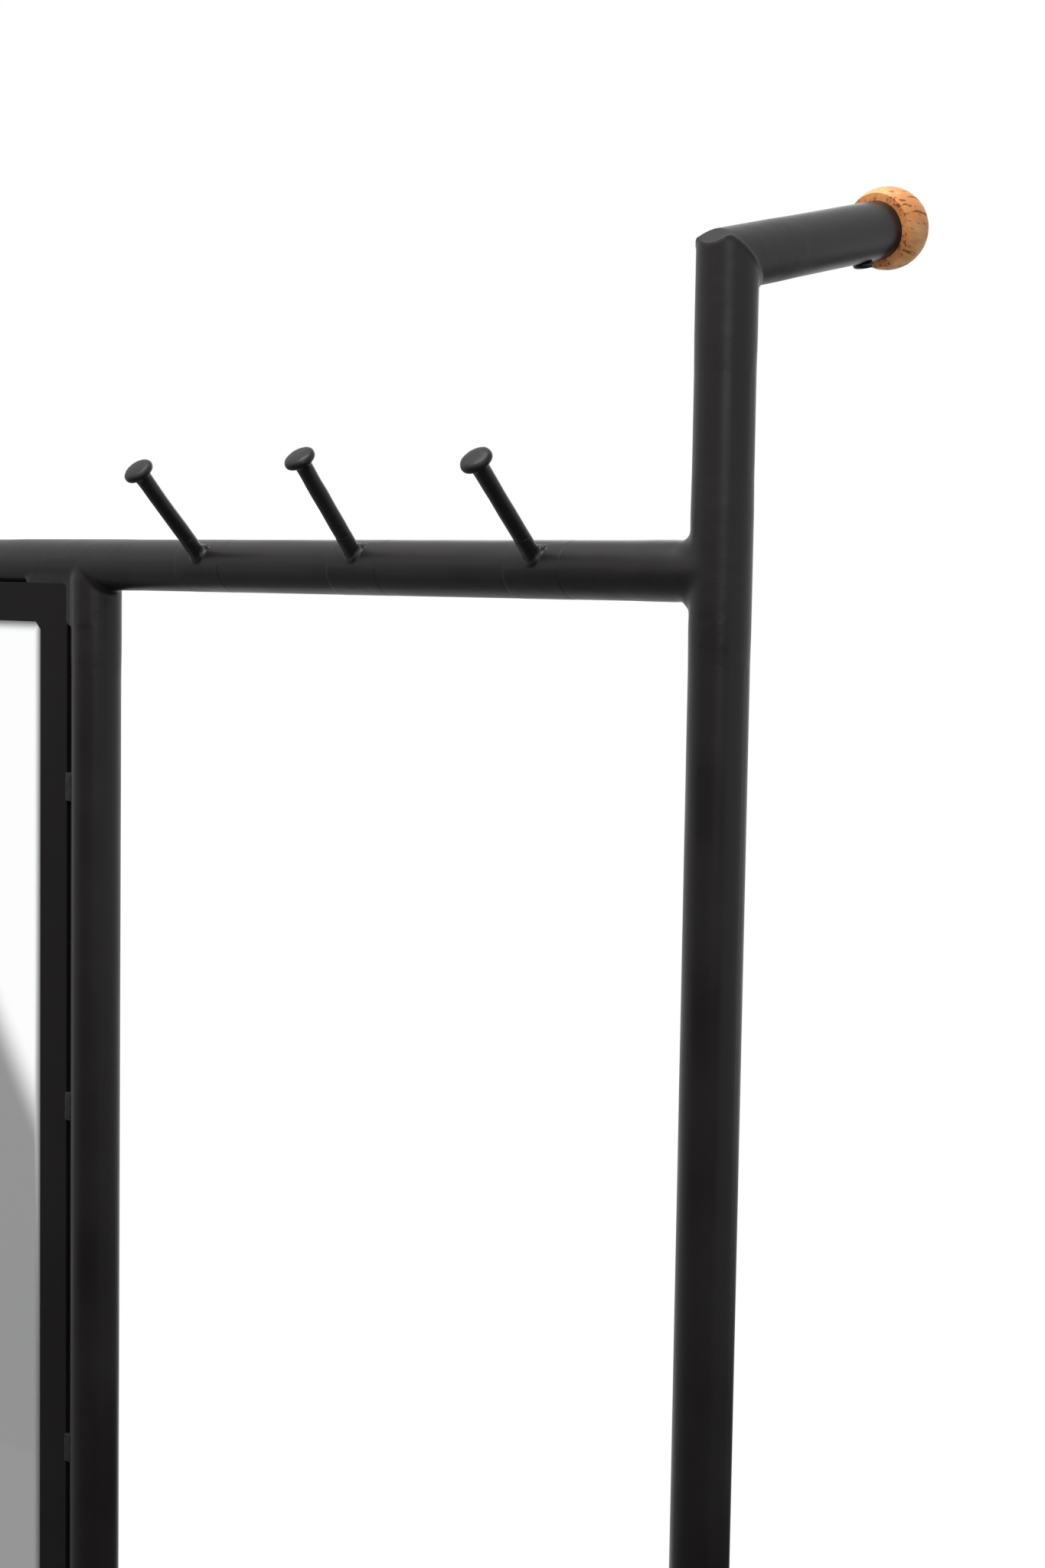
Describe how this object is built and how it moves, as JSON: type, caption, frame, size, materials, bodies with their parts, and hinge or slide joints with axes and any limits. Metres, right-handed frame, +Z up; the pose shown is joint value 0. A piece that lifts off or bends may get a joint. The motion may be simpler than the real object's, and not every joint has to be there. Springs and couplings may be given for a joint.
{
  "type": "floor mirror with coat rack",
  "caption": "Free-standing floor mirror in a welded round-tube frame, with a hanging bay, coat pegs on the crossbar and two arms tipped with wooden balls.",
  "frame": {"origin": "on the floor, halfway between the uprights and halfway from front to back", "axes": "+X to the right as seen from the front, +Y to the back, +Z up"},
  "size_m": [0.907, 0.424, 1.8089],
  "materials": {
    "frame_paint": "satin black paint over hand-welded steel",
    "weld_paint": "satin black paint over ground weld metal",
    "ball_wood": "oiled reddish hardwood",
    "black_screw": "black oxide",
    "mirror_glass": "clear mirror",
    "foam_tape": "black foam",
    "hardboard": "brown hardboard",
    "clip_steel": "zinc plated",
    "plug_plastic": "black plastic",
    "plain_steel": "plain steel",
    "foot_fastener": "zinc plated",
    "glide_plastic": "black nylon",
    "glide_steel": "zinc plated"
  },
  "bodies": {
    "frame": {"right_upright": "frame_paint", "left_upright": "frame_paint", "top_crossbar": "frame_paint", "bottom_crossbar": "frame_paint", "mirror_side_tube": "frame_paint", "right_arm": "frame_paint", "left_arm": "frame_paint", "right_foot_tube": "frame_paint", "left_foot_tube": "frame_paint", "coat_peg_right": "frame_paint", "coat_peg_middle": "frame_paint", "coat_peg_left": "frame_paint", "mirror_flat_top": "frame_paint", "mirror_flat_bottom": "frame_paint", "mirror_flat_left": "frame_paint", "mirror_flat_right": "frame_paint", "arm_welds": "weld_paint", "peg_welds": "weld_paint", "crossbar_welds": "weld_paint", "side_tube_welds": "weld_paint", "mirror_corner_welds": "weld_paint", "mirror_stitch_welds": "weld_paint", "right_arm_ball": "ball_wood", "left_arm_ball": "ball_wood", "arm_ball_screws": "black_screw", "mirror_glass": "mirror_glass", "glass_bedding_tape": "foam_tape", "back_board": "hardboard", "retaining_clips": "clip_steel", "clip_screws": "clip_steel", "foot_end_plugs": "plug_plastic", "upright_plugs": "plain_steel", "glide_inserts": "plain_steel", "foot_bolts": "foot_fastener", "foot_washers": "foot_fastener"},
    "front_right_glide": {"front_right_glide_base": "glide_plastic", "front_right_glide_stud": "glide_steel"},
    "back_right_glide": {"back_right_glide_base": "glide_plastic", "back_right_glide_stud": "glide_steel"},
    "front_left_glide": {"front_left_glide_base": "glide_plastic", "front_left_glide_stud": "glide_steel"},
    "back_left_glide": {"back_left_glide_base": "glide_plastic", "back_left_glide_stud": "glide_steel"}
  },
  "joints": [
    {"name": "front_right_glide_height", "type": "slide", "parent": "frame", "child": "front_right_glide", "axis": [0, 0, -1], "range_m": [-0.005, 0.01]},
    {"name": "back_right_glide_height", "type": "slide", "parent": "frame", "child": "back_right_glide", "axis": [0, 0, -1], "range_m": [-0.005, 0.01]},
    {"name": "front_left_glide_height", "type": "slide", "parent": "frame", "child": "front_left_glide", "axis": [0, 0, -1], "range_m": [-0.005, 0.01]},
    {"name": "back_left_glide_height", "type": "slide", "parent": "frame", "child": "back_left_glide", "axis": [0, 0, -1], "range_m": [-0.005, 0.01]}
  ]
}
